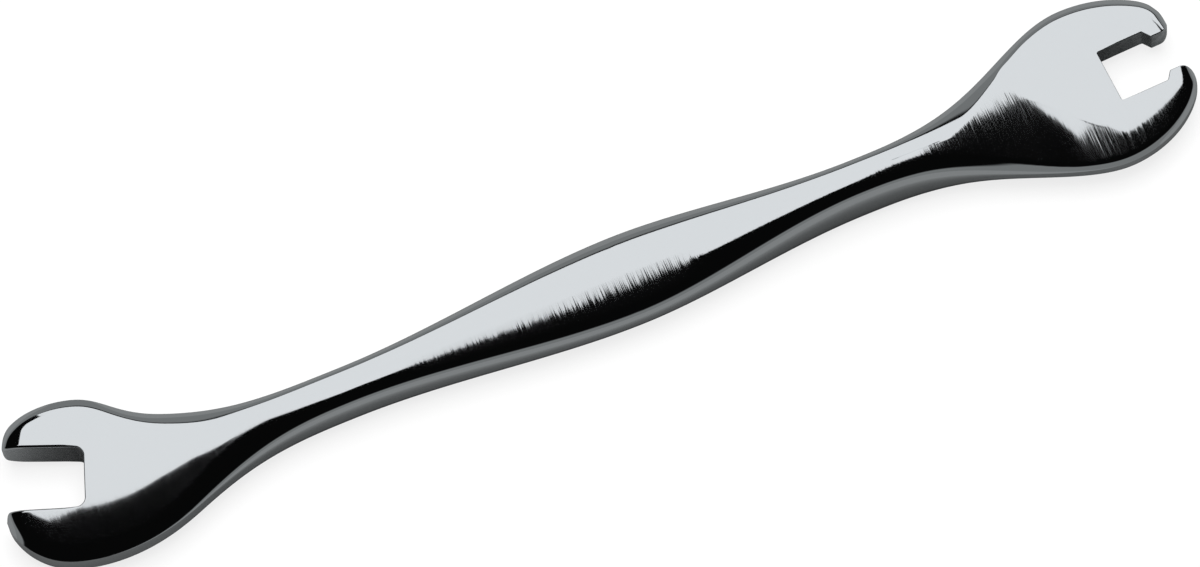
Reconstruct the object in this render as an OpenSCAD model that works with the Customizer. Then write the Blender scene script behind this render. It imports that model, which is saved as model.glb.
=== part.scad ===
// Double-ended spoke wrench. A thick handle with a swell for the hand narrows to a neck at each end
// and opens into a flat round head. The open head holds a nipple on three flats. The hooked head has
// lips at its mouth, so that it slips over the spoke and then slides along it to hold all four flats.
// The handle lies along X, the hooked head is at +X, and the underside rests on the XY plane.

/* [Handle] */
// Width across the middle of the swell
swell_w = 9.7; // [8:0.1:13]
// Thickness at the middle of the swell
swell_t = 5.9; // [5:0.1:8]
// Thickness that the swell's edges keep below its crown
swell_edge_t = 4; // [3:0.1:4.8]
// Width of both necks where they are narrowest
neck_w = 4.9; // [4:0.1:7]
// Length over which the handle's axis bends into each head's axis
bend_len = 13; // [8:0.5:16]

/* [Open head] */
// Nipple size that the open jaw takes, across the flats
open_jaw_w = 6.6; // [5:0.1:7.6]
// Angle by which each face of the open jaw leans outwards
open_jaw_flare = 1.2; // [0:0.1:3]
// Depth of the open jaw from the middle of its mouth to its floor
open_jaw_depth = 8.4; // [7:0.1:8.5]
// Length of the open jaw's +Y side from its floor to its end
open_far_len = 8.7; // [8.4:0.1:9]
// Length of the open jaw's -Y side from its floor to its end
open_near_len = 8; // [7.7:0.1:8.4]
// Radius that rounds the inner end of each open jaw at the mouth
open_lip_corner = 0.5; // [0.2:0.1:0.7]
// Radius in the two corners of the open jaw's floor
open_jaw_corner = 0.9; // [0.2:0.1:1]
// Width of the open head
open_head_w = 17.7; // [17:0.1:22]
// Thickness of the open head
open_head_t = 4.2; // [3.4:0.1:5]
// Thickness that the open head's edge keeps below its crown
open_edge_t = 3.1; // [2.6:0.1:3.3]
// Thickness of the upright wall around the open head's rim
open_rim_t = 2; // [1.6:0.1:2.4]
// Angle at which the face rises from that wall
open_rim_lean = 32; // [25:1:45]
// Thickness of the neck behind the open head
open_neck_t = 5.3; // [5:0.1:7]
// Thickness that this neck's edges keep below its crown
open_neck_edge_t = 4.8; // [3.5:0.1:4.9]
// Angle between the open head and the handle
open_tilt = 22; // [0:0.5:30]
// Middle of the swell to the narrowest part of the neck
open_neck_x = 30.5; // [26:0.5:36]
// Middle of the swell to the point where the head's axis meets the handle's axis
open_cross_x = 55; // [50:0.1:60]
// That point to the floor of the jaw, along the head's axis
open_floor_reach = 3.7; // [2:0.1:8]
// The floor of the jaw to the widest part of the head, outwards
open_widest_reach = 1.1; // [0.9:0.1:2]
// Widest part of the head to where its +Y edge would close in front of the mouth
open_far_nose = 9.3; // [9:0.1:12]
// The same for its -Y edge
open_near_nose = 8.5; // [8.3:0.1:12]
// Length of each open jaw tip, over which its faces fall
open_tip_len = 2.4; // [1.6:0.1:3]
// How far each face of an open jaw tip falls towards its end
open_tip_drop = 0.9; // [0.5:0.1:1.1]

/* [Hooked head] */
// Nipple size that the hooked jaw takes, across the flats
hooked_jaw_w = 6; // [5:0.1:7]
// Depth of the pocket from the lips to its floor
hooked_pocket_depth = 5; // [4.6:0.1:5.6]
// Gap between the lips, for the spoke to pass
hooked_mouth_w = 4.2; // [3.5:0.1:4.6]
// Angle by which the inner face of each lip leans outwards
hooked_lip_lean = 35; // [10:1:45]
// Depth of the hooked jaw from the middle of its mouth to its floor
hooked_jaw_depth = 7.8; // [7.4:0.1:8]
// Length of the hooked jaw's +Y side from its floor to its end
hooked_far_len = 8; // [7.8:0.1:8.2]
// Length of the hooked jaw's -Y side from its floor to its end
hooked_near_len = 8.1; // [7.8:0.1:8.2]
// Radius that rounds the end of each lip at the mouth
hooked_lip_corner = 1.2; // [0.3:0.1:1.4]
// Radius in the two corners of the pocket's floor
hooked_jaw_corner = 0.2; // [0.1:0.05:0.4]
// Width of the hooked head
hooked_head_w = 18.5; // [17:0.1:22]
// Thickness of the forged hooked head before it is ground
hooked_head_t = 3.3; // [3:0.1:5]
// Thickness that the hooked head's edge keeps below its crown
hooked_edge_t = 2.4; // [2.1:0.1:2.8]
// Thickness of the upright wall around the hooked head's rim
hooked_rim_t = 1.1; // [0.8:0.1:1.6]
// Angle at which the face rises from that wall on the +Y side
hooked_far_rim_lean = 36; // [25:1:45]
// The same on the -Y side
hooked_near_rim_lean = 54; // [40:1:60]
// Thickness of the neck behind the hooked head
hooked_neck_t = 6.6; // [6:0.1:7.5]
// Thickness that this neck's edges keep below its crown
hooked_neck_edge_t = 5.8; // [4:0.1:6]
// Thickness between the two ground flats
hooked_flat_t = 2.8; // [2.4:0.1:3.2]
// Radius of the wheel that runs out of each flat towards the handle
hooked_wheel_r = 7.5; // [5:0.5:20]
// Angle at which the ground slope rises towards the handle behind the wheel's curve
hooked_runout_lean = 8.5; // [6:0.5:20]
// Angle between the hooked head and the handle
hooked_tilt = 2.5; // [0:0.5:15]
// Middle of the swell to the narrowest part of the neck
hooked_neck_x = 25.5; // [22:0.5:30]
// Middle of the swell to the point where the head's axis meets the handle's axis
hooked_cross_x = 43; // [40:0.1:48]
// That point to the floor of the jaw, along the head's axis
hooked_floor_reach = 10.6; // [9:0.1:13]
// The floor of the jaw to the widest part of the head, outwards
hooked_widest_reach = -1.6; // [-1.9:0.1:0]
// Widest part of the head to where its +Y edge would close in front of the mouth
hooked_far_nose = 11.4; // [10.8:0.1:13]
// The same for its -Y edge
hooked_near_nose = 10.5; // [10.2:0.1:13]
// Length of each hooked jaw tip, over which its faces fall
hooked_tip_len = 1.7; // [1.4:0.1:3]
// How far each face of a hooked jaw tip falls towards its end
hooked_tip_drop = 1.1; // [0.6:0.1:1.2]
// The floor of the jaw back to the edge of the ground flats
hooked_flat_reach = 5.9; // [5:0.1:8]
// Angle at which the wheel crosses the head
hooked_flat_skew = 27; // [0:1:30]

/* [Edges] */
// Radius of the jaw tips seen from above
tip_corner = 0.8; // [0.5:0.1:1.5]
// How wide the faces of the heads round over into their rims
rim_ease = 0.45; // [0.1:0.05:0.6]

/* [Hidden] */

// Which end of the wrench a function works on
OPEN = -1;
HOOKED = 1;

// How late the neck flares into the head on its +Y and its -Y side: 1 is an even curve, more is later
open_flare_shares = [1.75, 1.47];
hooked_flare_shares = [1.4, 1.4];
// Where between the neck and the widest part of the head the thickness starts and stops falling
open_ramp_shares = [0.2, 0.98];
hooked_ramp_shares = [0.13, 0.85];
// Power of the handle's section: 2 is an ellipse, and more is boxier
power_share = 3.1;
// Half of the rim that is left where a jaw tip has fallen away, as a share of the fall
least_rim_share = 0.1;
// Points around a section, stations along the handle, a head and a jaw tip, and chords to an arc
ring_n = 38;
handle_stations = 38;
head_stations = 18;
tip_stations = 9;
arc_n = 6;
wheel_n = 10;
// How far every cut runs past the metal
overrun = 2;
thickest = max(swell_t, open_neck_t, hooked_neck_t);
steel = "silver";

function pick(side, open_value, hooked_value) = side == OPEN ? open_value : hooked_value;
function within(t) = min(max(t, 0), 1);
function smooth(t) = let (u = within(t)) u * u * (3 - 2 * u);
function blend(a, b, t) = a + (b - a) * t;

// Places along X, measured outwards from the middle of the swell
function tilt(side) = pick(side, open_tilt, hooked_tilt);
function neck_x(side) = pick(side, open_neck_x, hooked_neck_x);
function cross_x(side) = pick(side, open_cross_x, hooked_cross_x);
function floor_x(side) = cross_x(side) + pick(side, open_floor_reach, hooked_floor_reach) * cos(tilt(side));
function jaw_depth(side) = pick(side, open_jaw_depth, hooked_jaw_depth);
function mouth_x(side) = floor_x(side) + jaw_depth(side) * cos(tilt(side));
function widest_x(side) =
    floor_x(side) + pick(side, open_widest_reach, hooked_widest_reach) * cos(tilt(side));

// The axis of the wrench: straight along the handle, then bending to the tilt of the head
function bend_at(side, x) = x - cross_x(side) + bend_len / 2;
function axis_y(side, x) =
    let (d = bend_at(side, x), u = within(d / bend_len))
    tan(tilt(side)) * (bend_len * (pow(u, 3) - pow(u, 4) / 2) + max(d - bend_len, 0));
function axis_angle(side, x) = atan(tan(tilt(side)) * smooth(bend_at(side, x) / bend_len));

// Share of the way from the neck to the widest part of the head
function head_share(side, x) = (x - neck_x(side)) / (widest_x(side) - neck_x(side));

// How far a rounded end of radius r has drawn in at a distance from the mouth
function drawn_in(r, from_mouth) = r - sqrt(pow(r, 2) - pow(r - min(from_mouth, r), 2));
function from_mouth(side, x) = max(mouth_x(side) - x, 0) / cos(tilt(side));

// Width of the section at x from its middle to its +Y edge (edge 0) or to its -Y edge (edge 1)
function half_w(side, x, edge) =
    let (head_half = pick(side, open_head_w, hooked_head_w) / 2,
         nose = pick(side, [open_far_nose, open_near_nose], [hooked_far_nose, hooked_near_nose])[edge]
                * cos(tilt(side)),
         flare = pick(side, open_flare_shares, hooked_flare_shares)[edge])
    x < neck_x(side) ? blend(swell_w, neck_w, smooth(x / neck_x(side))) / 2
    : x < widest_x(side) ? blend(neck_w / 2, head_half, smooth(pow(head_share(side, x), flare)))
    : head_half * sqrt(1 - pow((x - widest_x(side)) / nose, 2)) - drawn_in(tip_corner, from_mouth(side, x));

// How far each face has fallen at a jaw tip
function tip_len(side) = pick(side, open_tip_len, hooked_tip_len);
function tip_drop(side) = pick(side, open_tip_drop, hooked_tip_drop);
function tip_fall(side, x) = tip_drop(side) * drawn_in(tip_len(side), from_mouth(side, x)) / tip_len(side);

// Half of a thickness at x, from its values at the swell, the neck and the head
function half_t(side, x, at_swell, at_neck, at_head) =
    let (ramp = pick(side, open_ramp_shares, hooked_ramp_shares))
    x < neck_x(side) ? blend(at_swell, at_neck, smooth(x / neck_x(side))) / 2
    : blend(at_neck, at_head, smooth((head_share(side, x) - ramp[0]) / (ramp[1] - ramp[0]))) / 2
      - tip_fall(side, x);
function half_crown(side, x) =
    half_t(side, x, swell_t, pick(side, open_neck_t, hooked_neck_t), pick(side, open_head_t, hooked_head_t));
function half_edge(side, x) =
    half_t(side, x, swell_edge_t, pick(side, open_neck_edge_t, hooked_neck_edge_t),
           pick(side, open_edge_t, hooked_edge_t));

// Half of the rim's upright wall at x, and the angles of the faces beside it on the +Y and the -Y side
function half_rim(side, x) =
    max(pick(side, open_rim_t, hooked_rim_t) / 2 - tip_fall(side, x), least_rim_share * tip_drop(side));
rim_leans = [[open_rim_lean, open_rim_lean], [hooked_far_rim_lean, hooked_near_rim_lean]];

// The lesser of two heights, rounded over where they come closer than ease
function soft_least(a, b, ease) = min(a, b) - ease / 6 * pow(max(1 - abs(a - b) / ease, 0), 3);

// A cosine or sine drawn out to the section's power, with its sign kept
function drawn_out(v) = sign(v) * pow(abs(v), 2 / power_share);

// How far the +Y or the -Y side of a jaw reaches past its section at x
jaw_lens = [[open_far_len, open_near_len], [hooked_far_len, hooked_near_len]];
function longer(side, x, edge) =
    max(x - floor_x(side), 0) * (pick(side, jaw_lens[0], jaw_lens[1])[edge] / jaw_depth(side) - 1);

// The closed section at x, square to the axis of the wrench: a crown on both faces, boxy edges along the
// handle, and on the heads an upright rim with a slope up to each face
function section(side, x) =
    let (angle = axis_angle(side, x), edge = half_edge(side, x), crown = half_crown(side, x) - edge,
         w = [half_w(side, x, 0), half_w(side, x, 1)], on_head = smooth(head_share(side, x)),
         leans = pick(side, rim_leans[0], rim_leans[1]))
    [for (i = [0 : ring_n - 1])
        let (turn = 360 * (i + 1 / 2) / ring_n,
             across = drawn_out(cos(turn)) / drawn_out(cos(180 / ring_n)),
             k = across < 0 ? 1 : 0,
             q = w[k] * across,
             crowned = crown * (1 - pow(across, 2)),
             boxy = edge * drawn_out(abs(sin(turn))) + crowned,
             slope = half_rim(side, x) + (w[k] - abs(q)) * tan(leans[k]),
             up = blend(boxy, soft_least(edge + crowned, slope, rim_ease), on_head))
        [side * (x - sin(angle) * q + longer(side, x, k)),
         axis_y(side, x) + cos(angle) * q + tan(tilt(side)) * longer(side, x, k),
         sign(sin(turn)) * up]];

// Stations of the handle from neck to neck, and of a head from its neck to its mouth
handle_rings = [for (i = [0 : handle_stations])
    let (x = blend(-open_neck_x, hooked_neck_x, i / handle_stations))
    x < 0 ? section(OPEN, -x) : section(HOOKED, x)];

function head_xs(side) =
    let (tip_run = tip_len(side) * cos(tilt(side)), tip_x = mouth_x(side) - tip_run)
    concat([for (i = [0 : head_stations]) blend(neck_x(side), tip_x, i / head_stations)],
           [for (i = [1 : tip_stations]) tip_x + tip_run * sin(90 * i / tip_stations)]);
function head_rings(side) = [for (x = head_xs(side)) section(side, x)];

// The box around all sections, which sets the origin below the middle of the wrench
all_points = [for (rings = [handle_rings, head_rings(OPEN), head_rings(HOOKED)], ring = rings, p = ring) p];
function middle(k) = let (v = [for (p = all_points) p[k]]) (min(v) + max(v)) / 2;
lowest_z = min([for (p = all_points) p[2]]);
to_origin = [-middle(0), -middle(1), -lowest_z];

// A solid through rings of points that are ordered along +X
module loft(rings) {
    n = len(rings[0]);
    last = len(rings) - 1;
    sides = [for (s = [0 : last - 1], i = [0 : n - 1])
        let (a = s * n + i, b = s * n + (i + 1) % n)
        each [[a, a + n, b], [b, a + n, b + n]]];
    caps = [for (i = [0 : n / 2 - 2])
        let (strip = [i, i + 1, n - 2 - i, n - 1 - i])
        each [strip, [for (k = [3 : -1 : 0]) last * n + strip[k]]]];
    polyhedron(points = [for (ring = rings, p = ring) p], faces = concat(sides, caps));
}

// Places children in a head's own frame: the jaw's floor at zero, outwards along +X
module at_floor(side) {
    translate([side * floor_x(side), axis_y(side, floor_x(side)), 0])
        rotate([0, 0, side * tilt(side)])
            mirror([side == OPEN ? 1 : 0, 0, 0])
                children();
}

// One of the two corners in a jaw's floor, as points from the floor round to the face
function floor_corner(half, r) = [for (i = [0 : arc_n])
    let (turn = 90 * i / arc_n) [r - r * cos(turn), half - r + r * sin(turn)]];

// The rounded inner end of a jaw, as points from its face round to the mouth, and on past the mouth
function lip_end(half, depth, r) = concat(
    [for (i = [0 : arc_n])
        let (turn = 90 * i / arc_n) [depth - r * (1 - sin(turn)), half + r * (1 - cos(turn))]],
    [[depth + overrun, half + r]]);
function mirrored(points) = [for (i = [len(points) - 1 : -1 : 0]) [points[i][0], -points[i][1]]];

// One half of the open jaw's outline, from its floor to past its mouth, with faces that lean outwards
function open_face(p) = open_jaw_w / 2 + tan(open_jaw_flare) * (p - open_jaw_depth / 2);
function open_half(edge) = concat(
    floor_corner(open_face(0), open_jaw_corner),
    lip_end(open_face(open_jaw_depth - open_lip_corner), jaw_lens[0][edge], open_lip_corner));

// One half of the hooked jaw's outline: a pocket, a lip that leans outwards, and half of the mouth
lip = (hooked_jaw_w - hooked_mouth_w) / 2;
function hooked_half(edge) = concat(
    floor_corner(hooked_jaw_w / 2, hooked_jaw_corner),
    [[hooked_pocket_depth, hooked_jaw_w / 2],
     [hooked_pocket_depth + lip * tan(hooked_lip_lean), hooked_mouth_w / 2]],
    lip_end(hooked_mouth_w / 2, jaw_lens[1][edge], hooked_lip_corner));

module jaw_cut(far_half, near_half) {
    cut_t = thickest + overrun;
    translate([0, 0, -cut_t / 2])
        linear_extrude(cut_t)
            polygon(concat(far_half, mirrored(near_half)));
}

// The metal that the wheel takes off above one flat, seen from the side and drawn across the head
module flat_cut() {
    flat_z = hooked_flat_t / 2;
    top_z = thickest / 2 + overrun;
    curve = [for (i = [0 : wheel_n])
        let (turn = hooked_runout_lean * i / wheel_n)
        [-hooked_flat_reach - hooked_wheel_r * sin(turn), flat_z + hooked_wheel_r * (1 - cos(turn))]];
    left = curve[wheel_n];
    slope_end = [left[0] - (top_z - left[1]) / tan(hooked_runout_lean), top_z];
    end_x = hooked_head_w;
    rotate([90, 0, hooked_flat_skew])
        translate([0, 0, -hooked_head_w])
            linear_extrude(2 * hooked_head_w)
                polygon(concat(curve, [slope_end, [end_x, top_z], [end_x, flat_z]]));
}

module handle() {
    color(steel)
        translate(to_origin)
            loft(handle_rings);
}

module open_head() {
    rings = head_rings(OPEN);
    color(steel)
        translate(to_origin)
            difference() {
                loft([for (i = [len(rings) - 1 : -1 : 0]) rings[i]]);
                at_floor(OPEN) jaw_cut(open_half(0), open_half(1));
            }
}

module hooked_head() {
    color(steel)
        translate(to_origin)
            difference() {
                loft(head_rings(HOOKED));
                at_floor(HOOKED) {
                    jaw_cut(hooked_half(0), hooked_half(1));
                    flat_cut();
                    mirror([0, 0, 1]) flat_cut();
                }
            }
}

handle();
open_head();
hooked_head();
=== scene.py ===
# %% [markdown]
# # A chrome spoke wrench
# This small hand tool turns the square nipples that tighten the spokes of a wheel. It is one forging:
# a handle with a swell for the hand, an open jaw at one end and a hooked jaw at the other. Nothing on
# it moves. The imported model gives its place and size, and this lesson gives it a smooth skin, a chrome
# finish, and a studio that a mirror-bright thing looks right in.

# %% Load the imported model
import math
import bmesh
import bpy
from mathutils import Matrix, Vector


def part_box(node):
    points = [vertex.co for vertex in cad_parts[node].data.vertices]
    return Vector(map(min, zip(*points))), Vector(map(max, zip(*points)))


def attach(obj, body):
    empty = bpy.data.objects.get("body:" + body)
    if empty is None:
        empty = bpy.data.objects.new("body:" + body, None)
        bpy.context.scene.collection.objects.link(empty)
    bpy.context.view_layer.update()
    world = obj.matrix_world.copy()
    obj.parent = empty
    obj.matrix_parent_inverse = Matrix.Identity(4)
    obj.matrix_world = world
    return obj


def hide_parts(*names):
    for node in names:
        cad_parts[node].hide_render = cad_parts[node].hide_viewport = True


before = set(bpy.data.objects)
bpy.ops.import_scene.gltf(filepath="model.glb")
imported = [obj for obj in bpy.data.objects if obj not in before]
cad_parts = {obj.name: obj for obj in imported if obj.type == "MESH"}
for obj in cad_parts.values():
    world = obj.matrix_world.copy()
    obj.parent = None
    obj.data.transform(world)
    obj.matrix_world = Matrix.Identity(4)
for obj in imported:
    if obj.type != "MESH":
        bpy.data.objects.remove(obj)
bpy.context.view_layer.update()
MM = 0.001

# %% [markdown]
# ## Expressions that add nodes
# Both the shape and the finish follow formulas. Formulas are hard to read as a web of nodes, so a small
# class wraps one socket of a node tree and overloads the arithmetic: `a * b + 1` adds the Math nodes.
# Any other node comes from one method, which takes its type, its settings, and the values or links of
# its sockets. The same two classes serve Geometry Nodes and shaders, because they share these nodes.

# %% A node tree
def find_socket(sockets, key):
    usable = [s for s in sockets if s.enabled]
    return usable[key] if isinstance(key, int) else next(s for s in usable if s.name == key)


class Tree:
    def __init__(self, node_tree):
        self.nodes = node_tree.nodes
        self.links = node_tree.links
        self.interface = getattr(node_tree, "interface", None)

    def node(self, kind, settings=None, sockets=None, out=0):
        made = self.nodes.new(kind)
        for name, value in (settings or {}).items():
            setattr(made, name, value)
        for key, value in (sockets or {}).items():
            for one in value if isinstance(value, list) else [value]:
                self.feed(find_socket(made.inputs, key), one)
        return Value(self, find_socket(made.outputs, out)) if made.outputs else made

    def feed(self, socket, value):
        if isinstance(value, Value):
            self.links.new(value.socket, socket)
        else:
            socket.default_value = value

    def math(self, operation, *values):
        return self.node("ShaderNodeMath", {"operation": operation}, dict(enumerate(values)))


print("one method adds any node")

# %% A value with arithmetic
class Value:
    def __init__(self, tree, socket):
        self.tree = tree
        self.socket = socket

    def sibling(self, name):
        return Value(self.tree, find_socket(self.socket.node.outputs, name))

    def __add__(self, other):
        return self.tree.math("ADD", self, other)

    def __sub__(self, other):
        return self.tree.math("SUBTRACT", self, other)

    def __rsub__(self, other):
        return self.tree.math("SUBTRACT", other, self)

    def __mul__(self, other):
        return self.tree.math("MULTIPLY", self, other)

    def __truediv__(self, other):
        return self.tree.math("DIVIDE", self, other)

    def __rtruediv__(self, other):
        return self.tree.math("DIVIDE", other, self)

    def __pow__(self, other):
        return self.tree.math("POWER", self, other)

    def __neg__(self):
        return self.tree.math("MULTIPLY", self, -1.0)

    def __abs__(self):
        return self.tree.math("ABSOLUTE", self)

    def __lt__(self, other):
        return self.tree.math("LESS_THAN", self, other)

    def __gt__(self, other):
        return self.tree.math("GREATER_THAN", self, other)

    __radd__ = __add__
    __rmul__ = __mul__


print("values can be added, multiplied and compared")

# %% Functions of one value
def sqrt(v):
    return v.tree.math("SQRT", v)


def sin(v):
    return v.tree.math("SINE", v)


def cos(v):
    return v.tree.math("COSINE", v)


def tan(v):
    return v.tree.math("TANGENT", v)


def arctan(v):
    return v.tree.math("ARCTANGENT", v)


def squared(v):
    return v * v


print("roots and angles ready")

# %% Limits, ramps and blends
def least(a, b):
    return a.tree.math("MINIMUM", a, b)


def most(a, b):
    return a.tree.math("MAXIMUM", a, b)


def soft_least(a, b, ease):
    return a.tree.math("SMOOTH_MIN", a, b, ease)


def soft_most(a, b, ease):
    return a.tree.math("SMOOTH_MAX", a, b, ease)


def within(v):
    return v.tree.node("ShaderNodeClamp", {}, {"Value": v})


def smooth(v, start=0.0, stop=1.0):
    return v.tree.node("ShaderNodeMapRange", {"interpolation_type": "SMOOTHSTEP"},
                       {"Value": v, "From Min": start, "From Max": stop})


def blend(a, b, share):
    return share.tree.node("ShaderNodeMix", {"data_type": "FLOAT", "clamp_factor": False},
                           {"Factor": share, "A": a, "B": b})


def where(mask, value, otherwise):
    return blend(otherwise, value, mask)


print("limits, ramps and blends ready")

# %% [markdown]
# ## The sizes
# The sizes are in metres and radians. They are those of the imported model, except at the hooked neck and
# the end of its ground flat, where they were tuned a little more until the reflections sat right. Most
# exist twice, once for the open end and once for the hooked end, so they are kept in pairs. Each becomes
# a named input of the Geometry Nodes tree, and the shape can be tried with other values in the
# modifier's panel. Numbers typed straight into the nodes would be quicker to write and hard to change.

# %% Sizes of the handle
DEG = math.radians(1)
HANDLE_SIZES = {
    "swell width": 9.7 * MM,
    "swell thickness": 5.9 * MM,
    "swell edge thickness": 4.0 * MM,
    "neck width": 4.9 * MM,
    "bend length": 13 * MM,
    "tip corner": 0.8 * MM,
    "handle power": 3.1,
    "rim easing": 0.45 * MM,
}
print(len(HANDLE_SIZES), "sizes of the handle")

# %% Pairs of sizes for the open and the hooked end
END_SIZES = {
    "tilt": (22 * DEG, 2.5 * DEG),
    "neck at": (30.5 * MM, 25.5 * MM),
    "cross at": (55 * MM, 43 * MM),
    "floor reach": (3.7 * MM, 10.6 * MM),
    "widest reach": (1.1 * MM, -1.6 * MM),
    "far nose": (9.3 * MM, 11.4 * MM),
    "near nose": (8.5 * MM, 10.5 * MM),
    "head width": (17.7 * MM, 18.5 * MM),
    "head thickness": (4.2 * MM, 3.25 * MM),
    "edge thickness": (3.1 * MM, 2.4 * MM),
    "neck thickness": (5.3 * MM, 6.6 * MM),
    "neck edge thickness": (4.8 * MM, 6.35 * MM),
    "far flare": (1.75, 1.4),
    "near flare": (1.47, 1.4),
    "ramp start": (0.2, 0.22),
    "ramp stop": (0.98, 0.84),
    "rim wall": (1.0 * MM, 0.55 * MM),
    "far rim lean": (32 * DEG, 36 * DEG),
    "near rim lean": (32 * DEG, 54 * DEG),
    "tip length": (2.4 * MM, 1.7 * MM),
    "tip drop": (0.9 * MM, 1.1 * MM),
    "jaw width": (6.6 * MM, 6 * MM),
    "jaw depth": (8.4 * MM, 7.8 * MM),
    "far jaw length": (8.7 * MM, 8.0 * MM),
    "near jaw length": (8.0 * MM, 8.1 * MM),
    "jaw corner": (0.9 * MM, 0.2 * MM),
    "lip corner": (0.5 * MM, 1.2 * MM),
    "slot edge": (0.32 * MM, 0.1 * MM),
}
print(len(END_SIZES), "pairs of sizes for the two ends")

# %% Sizes of the jaws that only one end has
JAW_SIZES = {
    "open jaw lean": 1.2 * DEG,
    "pocket depth": 5.0 * MM,
    "mouth width": 4.2 * MM,
    "lip lean": 35 * DEG,
    "lip easing": 0.15 * MM,
    "flat thickness": 2.8 * MM,
    "flat reach": 4.3 * MM,
    "flat skew": 33.3 * DEG,
    "flat easing": 0.12 * MM,
    "wheel radius": 5.5 * MM,
    "runout lean": 18.8 * DEG,
}
SIZES = {**HANDLE_SIZES, **JAW_SIZES}
for name, (open_size, hooked_size) in END_SIZES.items():
    SIZES["open " + name] = open_size
    SIZES["hooked " + name] = hooked_size
print(len(JAW_SIZES), "sizes of the jaws")

# %% The tree and its named inputs
shape_group = bpy.data.node_groups.new("wrench_shape", "GeometryNodeTree")
shape = Tree(shape_group)
identifiers = {}
for name, value in SIZES.items():
    socket = shape.interface.new_socket(name, in_out="INPUT", socket_type="NodeSocketFloat")
    socket.default_value = value
    identifiers[name] = socket.identifier
shape.interface.new_socket("Geometry", in_out="OUTPUT", socket_type="NodeSocketGeometry")
first_input = shape.node("NodeGroupInput")


def size(name):
    return first_input.sibling(name)


print("the shape has", len(SIZES), "named sizes")

# %% [markdown]
# ## A flat grid with one row for each station
# A forging like this is drawn as sections along an axis, so its skin is a grid: rows are stations along
# the wrench and columns run across it. The upper half is made and then mirrored, because the wrench is
# the same below its middle plane. Rows stand closest where the shape turns fastest: at the jaw tips, at
# the floor of each slot and along its edges. A grid keeps every row and column smooth, which chrome
# needs, while a boolean cut would leave long thin triangles that show in the reflections.

# %% Lengths between the mouths and the necks
open_cos = cos(size("open tilt"))
hooked_cos = cos(size("hooked tilt"))
open_floor_x = size("open cross at") + size("open floor reach") * open_cos
hooked_floor_x = size("hooked cross at") + size("hooked floor reach") * hooked_cos
open_tip = most(size("tip corner"), size("open tip length"))
hooked_tip = most(size("tip corner"), size("hooked tip length"))
open_faces = size("open jaw depth") - open_tip - size("open jaw corner")
pocket_faces = size("pocket depth") - size("hooked jaw corner")
lip_run = (size("hooked jaw width") - size("mouth width")) / 2 * tan(size("lip lean"))
mouth_run = size("hooked jaw depth") - hooked_tip - size("pocket depth") - lip_run
open_run = open_floor_x - size("open slot edge") - size("open neck at")
hooked_run = hooked_floor_x - size("hooked slot edge") - size("hooked neck at")
print(len(shape.nodes), "nodes work out the lengths")

# %% Stretches of stations, from the open mouth to the hooked mouth
FROM_SLOW, EVEN, TO_SLOW = range(3)
stretches = [
    ("open tip", open_tip * open_cos, 14, FROM_SLOW),
    ("open faces", open_faces * open_cos, 36, EVEN),
    ("open corners", size("open jaw corner") * open_cos, 8, TO_SLOW),
    ("open floor edge", size("open slot edge"), 6, FROM_SLOW),
    ("open head", open_run, 68, EVEN),
    ("handle", size("open neck at") + size("hooked neck at"), 84, EVEN),
    ("hooked head", hooked_run, 110, EVEN),
    ("hooked floor edge", size("hooked slot edge"), 5, TO_SLOW),
    ("hooked corners", size("hooked jaw corner") * hooked_cos, 6, FROM_SLOW),
    ("pocket faces", pocket_faces * hooked_cos, 26, EVEN),
    ("lip faces", lip_run * hooked_cos, 12, EVEN),
    ("mouth", mouth_run * hooked_cos, 8, EVEN),
    ("hooked tip", hooked_tip * hooked_cos, 14, TO_SLOW),
]
starts = {}
rows = 0
for name, _, count, _ in stretches:
    starts[name] = rows
    rows += count
print(rows, "rows in", len(stretches), "stretches")

# %% The grid, with the faces inside the two slots left out
FLOOR_COLUMNS, EDGE_COLUMNS, FACE_COLUMNS = 12, 6, 32
half_columns = FLOOR_COLUMNS + EDGE_COLUMNS + FACE_COLUMNS
grid = shape.node("GeometryNodeMeshGrid", {}, {
    "Size X": float(rows), "Size Y": 2.0 * half_columns,
    "Vertices X": rows + 1, "Vertices Y": 2 * half_columns + 1})
place = shape.node("ShaderNodeSeparateXYZ", {}, {"Vector": shape.node("GeometryNodeInputPosition")})
row = place + rows / 2
column = place.sibling("Y")
in_open_slot = row < starts["open floor edge"]
in_hooked_slot = row > starts["hooked corners"]
over_slot = (abs(column) < FLOOR_COLUMNS) * most(in_open_slot, in_hooked_slot)
sheet = shape.node("GeometryNodeDeleteGeometry", {"domain": "FACE"}, {
    "Geometry": grid, "Selection": over_slot})
BESIDE_SLOT = "beside_slot"
sheet = shape.node("GeometryNodeStoreNamedAttribute", {"data_type": "FLOAT", "domain": "POINT"}, {
    "Geometry": sheet, "Name": BESIDE_SLOT, "Value": abs(column) < FLOOR_COLUMNS + 0.5})
print("grid of", rows, "rows and", 2 * half_columns, "columns")

# %% [markdown]
# ## Where each row and column lies
# A row's place along X is the sum of the stretches that it has passed. A stretch can start or end with
# closer rows: a quarter of a sine does that. Columns have three parts: over the slot's floor, along the
# slot's rounded edge, and from there to the rim.

# %% Place of a row along the wrench
def eased(share, easing):
    quarter = share * (math.pi / 2)
    if easing == FROM_SLOW:
        return 1 - cos(quarter)
    return sin(quarter) if easing == TO_SLOW else share


along = -(open_floor_x + size("open jaw depth") * open_cos)
for name, length, count, easing in stretches:
    along = along + length * eased(within((row - starts[name]) / count), easing)
hooked = along > 0.0
outward = hooked * 2 - 1
x = abs(along)


def end(name):
    return where(hooked, size("hooked " + name), size("open " + name))


print("rows placed with", len(shape.nodes), "nodes so far")

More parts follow.
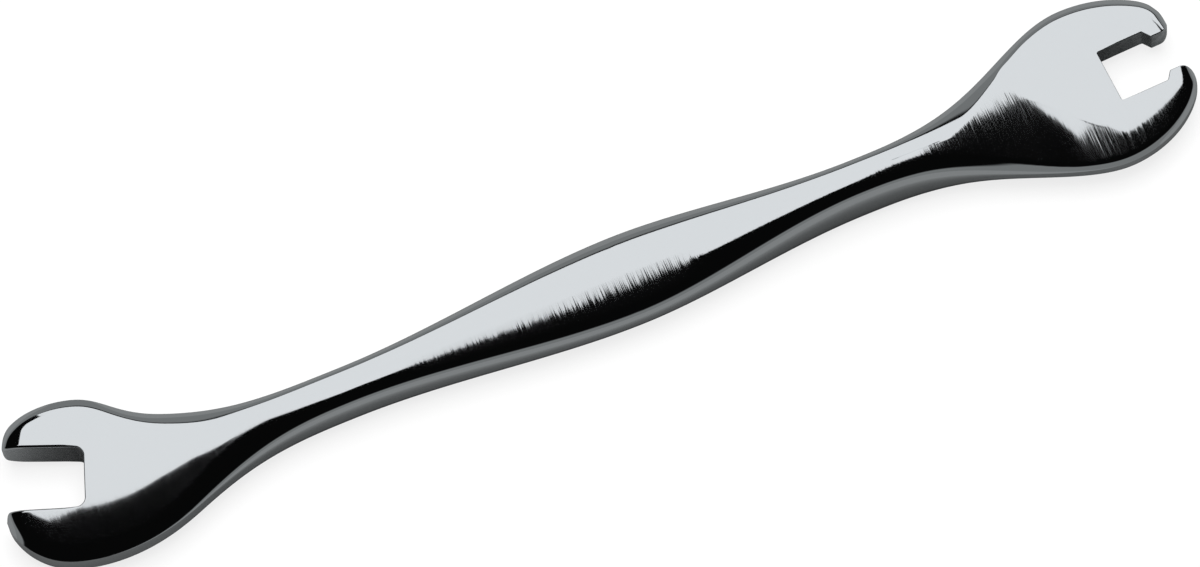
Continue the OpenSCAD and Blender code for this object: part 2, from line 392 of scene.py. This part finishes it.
# %% Shares of a column
far = column > 0.0
rim_side = far * 2 - 1
floor_share = within(abs(column) / FLOOR_COLUMNS)
edge_share = within((abs(column) - FLOOR_COLUMNS) / EDGE_COLUMNS)
rim_share = within((abs(column) - FLOOR_COLUMNS - EDGE_COLUMNS) / FACE_COLUMNS)
print("columns over the floor, the edge and the face:", FLOOR_COLUMNS, EDGE_COLUMNS, FACE_COLUMNS)

# %% [markdown]
# ## The axis, the width and the thickness
# The axis runs straight along the handle and bends into each head. The half width swells in the hand,
# narrows to the neck, flares into the head and closes over the jaws like an ellipse. The thickness falls
# from the neck to the head. `drawn_in` is the quarter circle that rounds an end. A drawn curve with a
# profile could give the handle, but not the two sides of a head, which flare differently.

# %% The bending axis
tilt_cos = cos(end("tilt"))
tilt_sin = sin(end("tilt"))
tilt_tan = tan(end("tilt"))
cross_x = end("cross at")
floor_x = cross_x + end("floor reach") * tilt_cos
mouth_x = floor_x + end("jaw depth") * tilt_cos
widest_x = floor_x + end("widest reach") * tilt_cos
bend_len = size("bend length")


def axis_y(at):
    bent = at - cross_x + bend_len / 2
    share = within(bent / bend_len)
    return tilt_tan * (bend_len * (share ** 3 - share ** 4 / 2) + most(bent - bend_len, 0.0))


axis_angle = arctan(tilt_tan * smooth((x - cross_x + bend_len / 2) / bend_len))
print("the heads bend by", [round(v / DEG, 1) for v in END_SIZES["tilt"]], "degrees")

# %% Half of the width
def drawn_in(radius, distance):
    return radius - sqrt(squared(radius) - squared(radius - least(distance, radius)))


neck_x = end("neck at")
before_neck = x < neck_x
neck_share = smooth(x / neck_x)
head_share = (x - neck_x) / (widest_x - neck_x)
from_mouth = most(mouth_x - x, 0.0) / tilt_cos
head_half = end("head width") / 2
handle_w = blend(size("swell width"), size("neck width"), neck_share) / 2
flare = where(far, end("far flare"), end("near flare"))
flare_w = blend(size("neck width") / 2, head_half, smooth(within(head_share) ** flare))
nose = where(far, end("far nose"), end("near nose"))
nose_w = (head_half * sqrt(1 - squared((x - widest_x) / (nose * tilt_cos)))
          - drawn_in(size("tip corner"), from_mouth))
half_w = where(before_neck, handle_w, where(x < widest_x, flare_w, nose_w))
print("the heads are", [round(v / MM, 1) for v in END_SIZES["head width"]], "mm wide")

# %% Half of the thickness at the crown and at the edge, and how boxy the section is
tip_drop = end("tip drop") * drawn_in(end("tip length"), from_mouth) / end("tip length")


def half_thickness(at_swell, at_neck, at_head):
    falling = smooth(head_share, end("ramp start"), end("ramp stop"))
    full = where(before_neck, blend(at_swell, at_neck, neck_share), blend(at_neck, at_head, falling))
    return full / 2 - tip_drop


crown = half_thickness(size("swell thickness"), end("neck thickness"), end("head thickness"))
edge = half_thickness(size("swell edge thickness"), end("neck edge thickness"), end("edge thickness"))
power = size("handle power")
print("the heads are", [round(v / MM, 2) for v in END_SIZES["head thickness"]], "mm thick")

# %% [markdown]
# ## The slots
# The open jaw has straight faces that lean out a little. The hooked jaw has a pocket, two lips that lean
# over it and a narrower mouth between them. Both slots are a half width that depends only on the depth
# past the floor, so the columns beside the slot can follow it. Behind the floor the same columns run on
# into the handle and spread out.

# %% Half of the slot's width at a depth
depth = (x - floor_x) / tilt_cos
corner = end("jaw corner")


def slot_half(at):
    from_lip = end("jaw depth") - at
    rounded = drawn_in(corner, at)
    opened = drawn_in(end("lip corner"), from_lip)
    leaning = tan(size("open jaw lean")) * (at - size("open jaw depth") / 2)
    open_face = size("open jaw width") / 2 + leaning
    pocket = size("hooked jaw width") / 2 - rounded
    lip = size("hooked jaw width") / 2 - (at - size("pocket depth")) / tan(size("lip lean"))
    mouth = size("mouth width") / 2 + opened
    ease = size("lip easing")
    hooked_half = soft_most(soft_least(pocket, lip, ease), mouth, ease)
    return where(hooked, hooked_half, open_face - rounded + opened)


slot_w = slot_half(most(depth, 0.0))
STEP = 0.02 * MM
slot_slope = (slot_half(depth + STEP) - slot_half(depth - STEP)) / (2 * STEP)
print("the slots are", [round(v / MM, 1) for v in END_SIZES["jaw width"]], "mm wide")

# %% Columns across the section
SPREAD = 9 * MM
SPREAD_SHARE = 0.1
CLOSE_START = 1.5
behind = depth < 0.0
edge_r = end("slot edge")
inner_w = slot_w * where(behind, half_w / head_half, 1.0)
strip = blend(edge_r, half_w * SPREAD_SHARE, smooth(-depth / SPREAD))
inner = inner_w * floor_share + strip * (1 - cos(edge_share * (math.pi / 2)))
face_share = 1 - squared(1 - rim_share ** CLOSE_START)
off_axis = inner + (half_w - inner) * face_share
across = least(off_axis / half_w, 1.0)
print("columns follow the slots, with", len(shape.nodes), "nodes so far")

# %% [markdown]
# ## The height of the skin
# On the handle the section is a boxy ellipse with a crown on top. Towards the heads it blends into a low
# crown with a bevel along the rim. Two things lower it. The hooked head is ground flat on both sides by
# a wheel that crosses it at a slant, and the flat ends in the wheel's own curve. The edges of the slots
# are slightly rounded, as plating and polishing leave them. Distance from the slot's outline drives that
# rounding, so it also follows the corners of the floor.

# %% The crowned section with its bevelled rim
LEAST_RIM = 0.09 * MM
crowned = (crown - edge) * (1 - squared(across))
boxy = edge * (1 - across ** power) ** (1 / power) + crowned
rim_wall = most(end("rim wall") - tip_drop, LEAST_RIM)
rim_lean = where(far, end("far rim lean"), end("near rim lean"))
bevel = rim_wall + most(half_w - off_axis, 0.0) * tan(rim_lean)
bevelled = soft_least(edge + crowned, bevel, size("rim easing"))
height = blend(boxy, bevelled, smooth(head_share))
print("section raised, with", len(shape.nodes), "nodes so far")

# %% Place in plan, with one jaw a little longer than the other
jaw_length = where(far, end("far jaw length"), end("near jaw length"))
longer = most(depth, 0.0) * (jaw_length / end("jaw depth") - 1)
plan_x = outward * (x - sin(axis_angle) * rim_side * off_axis + tilt_cos * longer)
plan_y = axis_y(x) + cos(axis_angle) * rim_side * off_axis + tilt_sin * longer
print("the far jaws are", [round(v / MM, 1) for v in END_SIZES["far jaw length"]], "mm long")

# %% The flat that the wheel has ground
past_floor = plan_x - floor_x
beside_floor = plan_y - axis_y(floor_x)
flat_along = past_floor * tilt_cos + beside_floor * tilt_sin
flat_aside = beside_floor * tilt_cos - past_floor * tilt_sin
slanted = flat_along * cos(size("flat skew")) + flat_aside * sin(size("flat skew"))
wheel = size("wheel radius")
run_back = most(-size("flat reach") - slanted, 0.0)
on_wheel = wheel * sin(size("runout lean"))
flat = (size("flat thickness") / 2 + wheel - sqrt(squared(wheel) - squared(least(run_back, on_wheel)))
        + tan(size("runout lean")) * most(run_back - on_wheel, 0.0))
ground = where(hooked, soft_least(height, flat, size("flat easing")), height)
print("hooked head ground to", round(SIZES["flat thickness"] / MM, 2), "mm")

# %% Rounded edges of the slots
CRISP_SHARE = 0.25
CRISP_REACH = 2.5 * MM
to_floor = corner - depth
to_face = off_axis - (slot_w + drawn_in(corner, most(depth, 0.0)) - corner)
around_corner = (sqrt(squared(most(to_floor, 0.0)) + squared(most(to_face, 0.0)))
                 + least(most(to_floor, to_face), 0.0) - corner)
beside_face = (off_axis - slot_w) / sqrt(1 + squared(slot_slope))
from_slot = where(depth > corner, beside_face, around_corner)
rounding = edge_r * (CRISP_SHARE + (1 - CRISP_SHARE) * smooth(depth, 0.0, CRISP_REACH))
skin_z = most(ground - drawn_in(rounding, from_slot), 0.0)
skin = shape.node("GeometryNodeSetPosition", {}, {
    "Geometry": sheet,
    "Position": shape.node("ShaderNodeCombineXYZ", {}, {"X": plan_x, "Y": plan_y, "Z": skin_z})})
print("skin raised, with", len(shape.nodes), "nodes so far")

# %% [markdown]
# ## Walls, the lower half and one skin
# The open borders of the upper half are the slots, the jaw ends and the rims of the heads. Extruding them
# down to the middle plane makes the walls: first by a sliver, which keeps the rounded edge from bending
# the light on the wall, and then all the way. Mirroring and merging joins both halves into one skin. The
# walls inside the slots are marked, because the cutter leaves them duller than the polished outside.

# %% Walls down to the middle plane
SLIVER = 0.03
TOUCH = 1e-7
WALL = "slot_wall"


def lowered(mesh, selection, share):
    walls = shape.node("GeometryNodeExtrudeMesh", {"mode": "EDGES"}, {
        "Mesh": mesh, "Selection": selection, "Offset Scale": 0.0})
    here = shape.node("ShaderNodeSeparateXYZ", {}, {"Vector": shape.node("GeometryNodeInputPosition")})
    moved = shape.node("GeometryNodeSetPosition", {}, {
        "Geometry": walls, "Selection": walls.sibling("Top"),
        "Position": shape.node("ShaderNodeCombineXYZ", {}, {
            "X": here, "Y": here.sibling("Y"), "Z": here.sibling("Z") * share})})
    beside = shape.node("GeometryNodeInputNamedAttribute", {"data_type": "FLOAT"}, {"Name": BESIDE_SLOT})
    marked = shape.node("GeometryNodeStoreNamedAttribute", {"data_type": "FLOAT", "domain": "FACE"}, {
        "Geometry": moved, "Selection": walls.sibling("Side"), "Name": WALL, "Value": beside})
    return marked, walls.sibling("Top")


ONE_FACE = 1.5
faces_beside = shape.node("GeometryNodeInputMeshEdgeNeighbors")
height_here = shape.node("ShaderNodeSeparateXYZ", {}, {
    "Vector": shape.node("GeometryNodeInputPosition")}).sibling("Z")
borders = (faces_beside < ONE_FACE) * (height_here > TOUCH)
slivered, lower_borders = lowered(skin, borders, 1 - SLIVER)
upper_half, _ = lowered(slivered, lower_borders, 0.0)
print("walls lowered in two steps")

# %% The chrome material, filled in further below
chrome = bpy.data.materials.new("polished_chrome")
chrome.use_nodes = True
print("material", chrome.name, "waits for its nodes")

# %% Mirror, merge and place
handle_low, handle_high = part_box("handle")
swell_at = (handle_low + handle_high) / 2
swell_at.x = handle_low.x + SIZES["open neck at"]
lower_half = shape.node("GeometryNodeFlipFaces", {}, {
    "Mesh": shape.node("GeometryNodeTransform", {}, {"Geometry": upper_half, "Scale": (1, 1, -1)})})
both = shape.node("GeometryNodeJoinGeometry", {}, {"Geometry": [upper_half, lower_half]})
closed = shape.node("GeometryNodeMergeByDistance", {}, {"Geometry": both, "Distance": 2 * TOUCH})
placed = shape.node("GeometryNodeTransform", {}, {"Geometry": closed, "Translation": swell_at})
realized = shape.node("GeometryNodeRealizeInstances", {}, {"Geometry": placed})
finished = shape.node("GeometryNodeSetMaterial", {}, {"Geometry": realized, "Material": chrome})
shape.node("NodeGroupOutput", {}, {"Geometry": finished})
print("the shape's tree has", len(shape.nodes), "nodes")

# %% The tree becomes a plain mesh
host = bpy.data.objects.new("wrench_host", bpy.data.meshes.new("wrench_host"))
bpy.context.scene.collection.objects.link(host)
modifier = host.modifiers.new("wrench_shape", "NODES")
modifier.node_group = shape_group
for name, value in SIZES.items():
    modifier[identifiers[name]] = value
graph = bpy.context.evaluated_depsgraph_get()
mesh = bpy.data.meshes.new_from_object(
    host.evaluated_get(graph), preserve_all_data_layers=True, depsgraph=graph)
bpy.data.objects.remove(host)
print("mesh of", len(mesh.vertices), "points")

# %% Outward normals, smooth shading and the piece itself
SHARP = 40 * DEG
edit = bmesh.new()
edit.from_mesh(mesh)
bmesh.ops.recalc_face_normals(edit, faces=edit.faces)
open_edges = sum(1 for e in edit.edges if not e.is_manifold)
volume = edit.calc_volume(signed=True)
edit.to_mesh(mesh)
edit.free()
mesh.shade_smooth()
mesh.set_sharp_from_angle(angle=SHARP)
wrench = bpy.data.objects.new("spoke_wrench", mesh)
mesh.name = "spoke_wrench"
bpy.context.scene.collection.objects.link(wrench)
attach(wrench, "root")
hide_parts("handle", "open_head", "hooked_head")
print("skin of", len(mesh.polygons), "faces,", open_edges, "open edges,", round(volume / MM ** 3), "mm3")

# %% [markdown]
# ## The chrome
# Chrome plate is a mirror with a cool tint. What makes it look real is what the polisher left. A belt
# that ran across the swell, the hooked neck and the near hooked jaw leaves fine hairs, and they fray the
# border between light and dark. The walls of the slots are duller and mottled, because no belt reaches
# them. A bump map of hairs would tilt the surface mostly along the handle, so the hairs are written
# straight into the normal: they tilt it mostly across the handle.

# %% Coordinates and noise on the wrench
finish = Tree(chrome.node_tree)
on_piece = finish.node("ShaderNodeTexCoord", {}, {}, "Object")
along_mm = (finish.node("ShaderNodeSeparateXYZ", {}, {"Vector": on_piece}) - swell_at.x) / MM


def vector(operation, *values):
    return finish.node("ShaderNodeVectorMath", {"operation": operation}, dict(enumerate(values)))


def noise(per_mm, detail=2.0):
    stretched = vector("MULTIPLY", on_piece, tuple(v / MM for v in per_mm))
    return finish.node("ShaderNodeTexNoise", {}, {
        "Vector": stretched, "Scale": 1.0, "Detail": detail}) - 0.5


print("the finish is measured from the swell, at x =", round(swell_at.x / MM, 2), "mm")

# %% Where the belt ran: start, full, last and stop in mm from the swell, and its strength
BELT_RUNS = [(-27, -21, 4, 9, 0.9), (24, 30, 43, 46, 0.36), (48, 51, 57, 60, 0.25)]
LIGHT_TOUCH = 0.05
TOP_FROM, TOP_FULL = 0.8, 0.93
NEAR_FROM, NEAR_FULL = 0.005, 0.06
belt = LIGHT_TOUCH
for start, full, last, stop, strength in BELT_RUNS:
    begun = smooth(along_mm, float(start), float(full))
    ended = smooth(along_mm, float(last), float(stop))
    belt = belt + begun * (1 - ended) * strength
facing = finish.node("ShaderNodeNewGeometry", {}, {}, "Normal")
facing_parts = finish.node("ShaderNodeSeparateXYZ", {}, {"Vector": facing})
upright = smooth(abs(facing_parts.sibling("Z")), TOP_FROM, TOP_FULL)
nearward = smooth(facing_parts - facing_parts.sibling("Y"), NEAR_FROM, NEAR_FULL)
belted = belt * upright * nearward
print("the belt ran in", len(BELT_RUNS), "places")

# %% Hairs and a faint ripple in the normal
HAIRS_PER_MM = (12.0, 0.2, 0.2)
HAIR_SPREAD, HAIR_BIAS, HAIR_TILT = 1.3, 0.1, 0.3
ALONG_SHARE = 0.5
RIPPLES_PER_MM = (0.25, 0.4, 0.4)
RIPPLE_TILT = 0.012
hairs = (noise(HAIRS_PER_MM, 2.0) * HAIR_SPREAD - HAIR_BIAS) * belted * HAIR_TILT
ripple = noise(RIPPLES_PER_MM, 1.0) * RIPPLE_TILT
offset = finish.node("ShaderNodeCombineXYZ", {}, {
    "X": ripple - hairs * ALONG_SHARE, "Y": hairs + ripple})
normal = vector("NORMALIZE", vector("ADD", facing, offset))
print("about", round(HAIRS_PER_MM[0]), "hairs on each mm of the handle")

# %% Colour and roughness
CHROME = (0.66, 0.675, 0.69)
WALL_CHROME = (0.42, 0.44, 0.45)
STAINS_PER_MM = (1.6, 1.6, 1.0)
STAIN_CONTRAST = 4
CLEAN_TO, STAINED_FROM = 20.0, 40.0
HAZE_PER_MM = (3.0, 0.4, 0.4)
MIRROR, HAZE, BELT_HAZE = 0.045, 0.08, 0.12
CUT, CUT_HAZE = 0.16, 0.12
in_slot = finish.node("ShaderNodeAttribute", {"attribute_name": WALL}, {}, "Fac")
mottled = within(noise(STAINS_PER_MM, 4.0) * STAIN_CONTRAST + 0.5)
stains = in_slot * mottled * smooth(along_mm, CLEAN_TO, STAINED_FROM)
colour = finish.node("ShaderNodeMix", {"data_type": "RGBA"}, {
    "Factor": stains, "A": (*CHROME, 1), "B": (*WALL_CHROME, 1)}, "Result")
polish = MIRROR + abs(noise(HAZE_PER_MM)) * HAZE + belted * BELT_HAZE
dull = CUT + mottled * CUT_HAZE
principled = chrome.node_tree.nodes["Principled BSDF"]
principled.inputs["Metallic"].default_value = 1.0
finish.feed(principled.inputs["Base Color"], colour)
finish.feed(principled.inputs["Roughness"], blend(polish, dull, in_slot))
finish.feed(principled.inputs["Normal"], normal)
print("chrome of", len(finish.nodes), "nodes")

# %% [markdown]
# ## The camera
# The picture looks down steeply and from a little to one side, rolled so that the wrench climbs to the
# right. A camera can be aimed with a constraint, but its roll is then hard to set. Here the angles give
# three directions, and these become the columns of its matrix. It stands far off with a long lens, which
# keeps the two ends the same size, as in a catalogue picture.

# %% Directions of the camera
CAMERA_AZIMUTH = -13.2 * DEG
CAMERA_ELEVATION = 66 * DEG
CAMERA_ROLL = 9.8 * DEG
right = Vector((math.cos(CAMERA_AZIMUTH), math.sin(CAMERA_AZIMUTH), 0))
level = Vector((-right.y, right.x, 0))
back = Vector((0, 0, 1)) * math.sin(CAMERA_ELEVATION) - level * math.cos(CAMERA_ELEVATION)
upward = back.cross(right)
turned_right = right * math.cos(CAMERA_ROLL) - upward * math.sin(CAMERA_ROLL)
turned_up = right * math.sin(CAMERA_ROLL) + upward * math.cos(CAMERA_ROLL)
print("the camera looks from", [round(v, 3) for v in back])

# %% Camera
CAMERA_DISTANCE = 0.9
FRAME_WIDTH = 121.84 * MM
SENSOR = 36.0
AIM_FROM_SWELL = Vector((-2.585 * MM, 0.807 * MM, 0.0))
camera = bpy.data.objects.new("camera", bpy.data.cameras.new("camera"))
bpy.context.scene.collection.objects.link(camera)
camera.data.sensor_width = SENSOR
camera.data.lens = SENSOR * CAMERA_DISTANCE / FRAME_WIDTH
camera_at = swell_at + AIM_FROM_SWELL + back * CAMERA_DISTANCE
turning = Matrix((turned_right, turned_up, back)).transposed().to_4x4()
camera.matrix_world = Matrix.Translation(camera_at) @ turning
bpy.context.scene.camera = camera
bpy.context.scene.view_settings.view_transform = "Standard"
print("lens of", round(camera.data.lens), "mm")

# %% [markdown]
# ## The floor
# The ground is white and nearly without shadow. A lit plane alone would come out grey, so most of the
# floor is a glow of its own, and the rest is a matt white that takes a soft shadow. In the chrome the
# floor has to be darker, because it gives the rims their grey. A Light Path node tells the two apart, and
# ambient occlusion darkens the mirrored floor close under the wrench.

# %% Floor
FLOOR_SIZE = 6.0
floor_mesh = bpy.data.meshes.new("floor")
half = FLOOR_SIZE / 2
floor_corners = [(-half, -half, 0), (half, -half, 0), (half, half, 0), (-half, half, 0)]
floor_mesh.from_pydata(floor_corners, [], [(0, 1, 2, 3)])
floor = bpy.data.objects.new("floor", floor_mesh)
bpy.context.scene.collection.objects.link(floor)
print("floor of", FLOOR_SIZE, "m")

# %% The floor's glow, and what the chrome sees of it
FLOOR_WHITE = (0.85, 0.85, 0.85, 1)
FLOOR_GLOW = 1.05
GLOW_SHARE = 0.77
MIRRORED_GREY = (0.3, 0.31, 0.31, 1)
SHADE_REACH = 8 * MM
SHADE_POWER = 2.6
floor_material = bpy.data.materials.new("pale_floor")
floor_material.use_nodes = True
floor_material.node_tree.nodes.clear()
ground_tree = Tree(floor_material.node_tree)
lit = ground_tree.node("ShaderNodeBsdfDiffuse", {}, {"Color": FLOOR_WHITE})
glowing = ground_tree.node("ShaderNodeEmission", {}, {"Color": (1, 1, 1, 1), "Strength": FLOOR_GLOW})
seen = ground_tree.node("ShaderNodeMixShader", {}, {0: GLOW_SHARE, 1: lit, 2: glowing})
uncovered = ground_tree.node("ShaderNodeAmbientOcclusion", {"samples": 8}, {"Distance": SHADE_REACH}, "AO")
mirrored = ground_tree.node("ShaderNodeEmission", {}, {
    "Color": MIRRORED_GREY, "Strength": uncovered ** SHADE_POWER})
in_mirror = ground_tree.node("ShaderNodeLightPath", {}, {}, "Is Glossy Ray")
ground_tree.node("ShaderNodeOutputMaterial", {}, {
    "Surface": ground_tree.node("ShaderNodeMixShader", {}, {0: in_mirror, 1: seen, 2: mirrored})})
floor_mesh.materials.append(floor_material)
print("floor material of", len(ground_tree.nodes), "nodes")

# %% [markdown]
# ## The room
# The camera sees a white room. For the chrome it is dark, with a grey band low around the horizon that
# runs on from the floor. A box with painted walls would do the same, but the world's own background needs
# no mesh: the height of a ray picks the brightness.

# %% World
ROOM_TINT = (0.96, 1, 1, 1)
BAND_FULL_TO, BAND_ENDS = 0.24, 0.34
BAND_LIGHT, ROOM_LIGHT = 0.24, 0.003
world = bpy.data.worlds.new("studio")
bpy.context.scene.world = world
world.use_nodes = True
world.node_tree.nodes.clear()
room = Tree(world.node_tree)
ray_height = room.node("ShaderNodeSeparateXYZ", {}, {
    "Vector": room.node("ShaderNodeTexCoord", {}, {}, "Generated")}).sibling("Z")
band = room.node("ShaderNodeMapRange", {"interpolation_type": "SMOOTHSTEP"}, {
    "Value": ray_height, "From Min": BAND_FULL_TO, "From Max": BAND_ENDS,
    "To Min": BAND_LIGHT, "To Max": ROOM_LIGHT})
seen_directly = room.node("ShaderNodeLightPath", {}, {}, "Is Camera Ray")
room.node("ShaderNodeOutputWorld", {}, {"Surface": room.node("ShaderNodeBackground", {}, {
    "Color": ROOM_TINT, "Strength": where(seen_directly, 1.0, band)})})
print("room of", len(room.nodes), "nodes")

# %% [markdown]
# ## The panels
# A chrome object is a picture of its surroundings: each light shape on the wrench is a mirrored panel.
# The border between light and dark is the front edge of the panel overhead, so this edge is cut along a
# line of corners, and each stretch of it shows on one stretch of the wrench. An area lamp has only a few
# outlines, but a flat mesh that glows can have any. A second panel carries the light on behind.

# %% A panel is a flat mesh that glows
PANEL_LIGHT = 1.05
PANEL_TINT = (0.97, 0.99, 1, 1)


def spot(sideways, away, up_by):
    return right * sideways + level * away + Vector((0, 0, up_by))


def panel(name, corners):
    made = bpy.data.meshes.new(name)
    made.from_pydata([c[:] for c in corners], [], [tuple(range(len(corners)))])
    item = bpy.data.objects.new(name, made)
    bpy.context.scene.collection.objects.link(item)
    item.visible_camera = False
    item.visible_shadow = False
    glow = bpy.data.materials.new(name)
    glow.use_nodes = True
    glow.node_tree.nodes.clear()
    glow_tree = Tree(glow.node_tree)
    glow_tree.node("ShaderNodeOutputMaterial", {}, {"Surface": glow_tree.node(
        "ShaderNodeEmission", {}, {"Color": PANEL_TINT, "Strength": PANEL_LIGHT})})
    made.materials.append(glow)
    print(name, "has", len(corners), "corners")


# %% The panel overhead, in shares of its height
PANEL_HEIGHT = 0.25
OVER_LEFT, OVER_RIGHT, OVER_BACK = -0.43, 1.4, 1.15
FRONT_EDGE = [(-0.62, 0.28), (-0.45, 0.24), (-0.35, 0.2), (-0.27, 0.26), (-0.2, 0.2), (-0.1, 0.03),
              (0.0, -0.04), (0.09, -0.06), (0.135, 0.0), (0.17, 0.1), (0.2, 0.2), (0.294, 0.37),
              (0.374, 0.5), (0.42, 0.62), (0.55, 0.69), (0.9, 0.87)]
over_shares = FRONT_EDGE + [(OVER_RIGHT, OVER_BACK), (OVER_LEFT, OVER_BACK)]
panel("overhead_panel", [spot(a * PANEL_HEIGHT, b * PANEL_HEIGHT, PANEL_HEIGHT) for a, b in over_shares])

# %% The panel behind, from the back of the one overhead down to a line above the horizon
REAR = 0.9
REAR_LEFT, REAR_RIGHT = -0.24, 1.3
REAR_ELEVATION = 20 * DEG
rear_low = REAR * math.tan(REAR_ELEVATION)
over_back = OVER_BACK * PANEL_HEIGHT
panel("rear_panel", [
    spot(OVER_LEFT * PANEL_HEIGHT, over_back, PANEL_HEIGHT),
    spot(OVER_RIGHT * PANEL_HEIGHT, over_back, PANEL_HEIGHT),
    spot(REAR_RIGHT, REAR, 2 * rear_low),
    spot(REAR_LEFT, REAR, rear_low)])

# %% [markdown]
# ## Soft light on the floor
# The matt share of the floor needs a lamp, which also draws the soft shadow beside the wrench. A round
# area lamp close above is soft enough. It is hidden from the chrome, where it would show as a bright disk.

# %% Lamp
LAMP_SIZE = 0.8
LAMP_POWER = 9.5
LAMP_AT = (0.05, 0.1, 0.9)
fill = bpy.data.objects.new("fill", bpy.data.lights.new("fill", "AREA"))
bpy.context.scene.collection.objects.link(fill)
fill.data.shape = "DISK"
fill.data.size = LAMP_SIZE
fill.data.energy = LAMP_POWER
fill.location = LAMP_AT
fill.visible_glossy = False
fill.visible_camera = False
print("lamp of", LAMP_POWER, "W,", LAMP_SIZE, "m wide")
